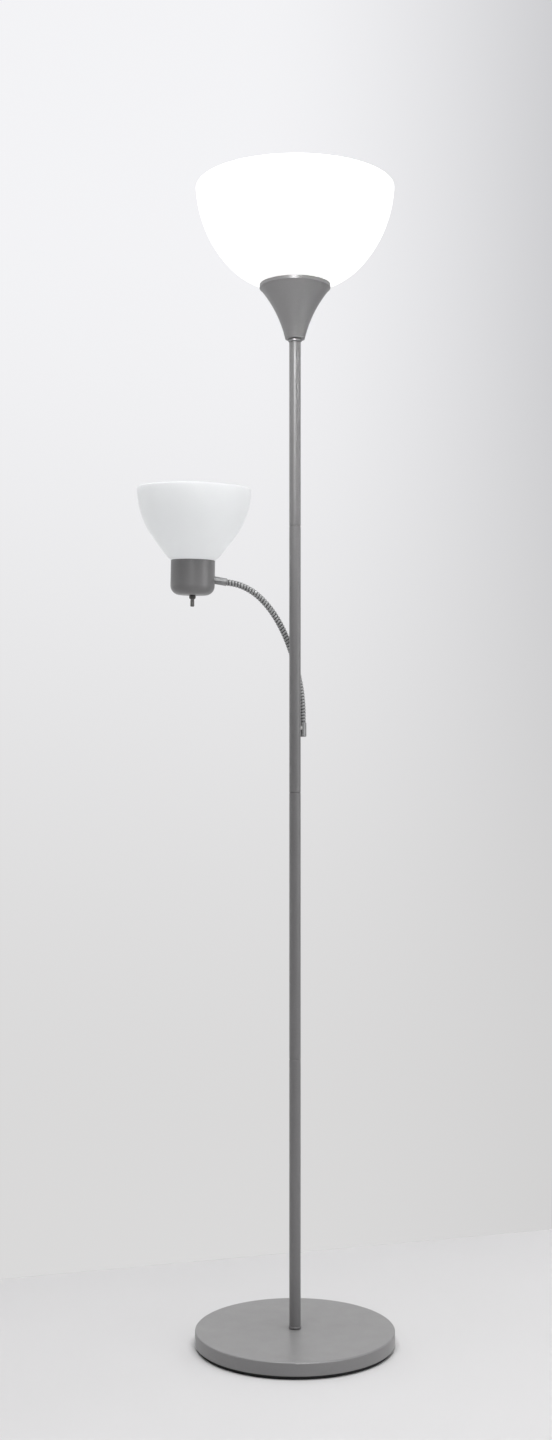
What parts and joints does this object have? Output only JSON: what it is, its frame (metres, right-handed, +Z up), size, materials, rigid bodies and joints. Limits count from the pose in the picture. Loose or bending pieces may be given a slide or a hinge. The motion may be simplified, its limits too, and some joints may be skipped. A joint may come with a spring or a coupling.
{
  "type": "torchiere floor lamp with reading light",
  "caption": "Floor lamp with an upward glass-white bowl on a slim sectional pole, a heavy round base, and a gooseneck reading light with a cup-shaped holder and rotary switch.",
  "frame": {"origin": "centre of the round base on the floor", "axes": "+Z up along the pole, -Y towards the viewer, -X towards the side where the reading light hangs at rest"},
  "size_m": [0.3879, 0.3015, 1.7356],
  "materials": {
    "base_lacquer": "satin silver-grey lacquer on a spun steel cover",
    "pole_lacquer": "satin silver-grey lacquer on steel tube",
    "holder_lacquer": "satin silver-grey lacquer on spun steel",
    "dark_metal": "dark satin metal",
    "concrete": "cast concrete weight",
    "black_plastic": "black moulded plastic",
    "pad_foam": "black foam rubber pad",
    "zinc": "zinc-plated steel",
    "bright_nickel": "bright nickel plating",
    "hose_nickel": "satin nickel-plated steel",
    "white_plastic": "white moulded plastic",
    "aluminium": "bare aluminium",
    "brass": "bare brass",
    "opal_shade": "opal white plastic bowl",
    "matt_shade": "translucent matt white plastic shade",
    "knob_metal": "dark nickel-plated knob",
    "bulb_glass": "frosted bulb glass"
  },
  "bodies": {
    "stand": {"anchor_nut": "zinc", "anchor_tube": "zinc", "anchor_washer": "zinc", "arm_lower_fitting": "hose_nickel", "arm_spacer": "bright_nickel", "arm_stud": "zinc", "arm_stud_nut": "zinc", "base_cover": "base_lacquer", "base_pad": "pad_foam", "base_tray": "black_plastic", "base_weight": "concrete", "cord_gland": "black_plastic", "foot_insert": "zinc", "foot_ring": "pole_lacquer", "gooseneck_1": "hose_nickel", "head_nut": "zinc", "head_tube": "zinc", "neck_ring": "dark_metal", "pole_coupler_1": "zinc", "pole_coupler_2": "zinc", "pole_coupler_3": "zinc", "pole_section_1": "pole_lacquer", "pole_section_2": "pole_lacquer", "pole_section_3": "pole_lacquer", "pole_section_4": "pole_lacquer", "shade_holder": "holder_lacquer", "top_insert": "zinc", "upper_bulb_cap": "aluminium", "upper_bulb_glass": "bulb_glass", "upper_shade": "opal_shade", "upper_shade_ring": "white_plastic", "upper_socket": "white_plastic", "upper_socket_contact": "brass", "upper_socket_shell": "aluminium"},
    "arm_2": {"gooseneck_2": "hose_nickel"},
    "arm_3": {"gooseneck_3": "hose_nickel"},
    "arm_4": {"gooseneck_4": "hose_nickel"},
    "arm_5": {"gooseneck_5": "hose_nickel"},
    "arm_6": {"gooseneck_6": "hose_nickel"},
    "arm_7": {"gooseneck_7": "hose_nickel"},
    "reading_head": {"gooseneck_8": "hose_nickel", "arm_upper_fitting": "hose_nickel", "arm_lock_nut": "zinc", "reading_cup": "holder_lacquer", "reading_switch": "black_plastic", "switch_nut": "dark_metal", "socket_stand": "zinc", "reading_socket": "white_plastic", "reading_socket_shell": "aluminium", "reading_socket_contact": "brass", "reading_shade": "matt_shade", "reading_shade_ring": "white_plastic", "reading_bulb_cap": "aluminium", "reading_bulb_glass": "bulb_glass"},
    "knob": {"switch_knob": "knob_metal"}
  },
  "joints": [
    {"name": "gooseneck_bend_1", "type": "hinge", "parent": "stand", "child": "arm_2", "pos_m": [0.01061, 0.0151, 0.96697], "axis": [0, -1, 0], "range_deg": [-8, 18]},
    {"name": "gooseneck_sway_2", "type": "hinge", "parent": "arm_2", "child": "arm_3", "pos_m": [0.00604, 0.0151, 0.99923], "axis": [0.9814, 0, 0.1918], "range_deg": [-20, 0]},
    {"name": "gooseneck_bend_3", "type": "hinge", "parent": "arm_3", "child": "arm_4", "pos_m": [-0.00176, 0.0151, 1.03087], "axis": [0, -1, 0], "range_deg": [-8, 18]},
    {"name": "gooseneck_sway_4", "type": "hinge", "parent": "arm_4", "child": "arm_5", "pos_m": [-0.01267, 0.0151, 1.06158], "axis": [0.9227, 0, 0.3855], "range_deg": [-20, 20]},
    {"name": "gooseneck_bend_5", "type": "hinge", "parent": "arm_5", "child": "arm_6", "pos_m": [-0.02719, 0.0151, 1.09074], "axis": [0, -1, 0], "range_deg": [-12, 18]},
    {"name": "gooseneck_sway_6", "type": "hinge", "parent": "arm_6", "child": "arm_7", "pos_m": [-0.04649, 0.0151, 1.11693], "axis": [0.7326, 0, 0.6807], "range_deg": [-20, 20]},
    {"name": "gooseneck_bend_7", "type": "hinge", "parent": "arm_7", "child": "reading_head", "pos_m": [-0.07193, 0.0151, 1.1371], "axis": [0, -1, 0], "range_deg": [-18, 18]},
    {"name": "switch_turn", "type": "hinge", "parent": "reading_head", "child": "knob", "pos_m": [-0.15468, 0.01632, 1.12716], "axis": [0.0173, -0.0431, 0.9989], "continuous": true}
  ]
}
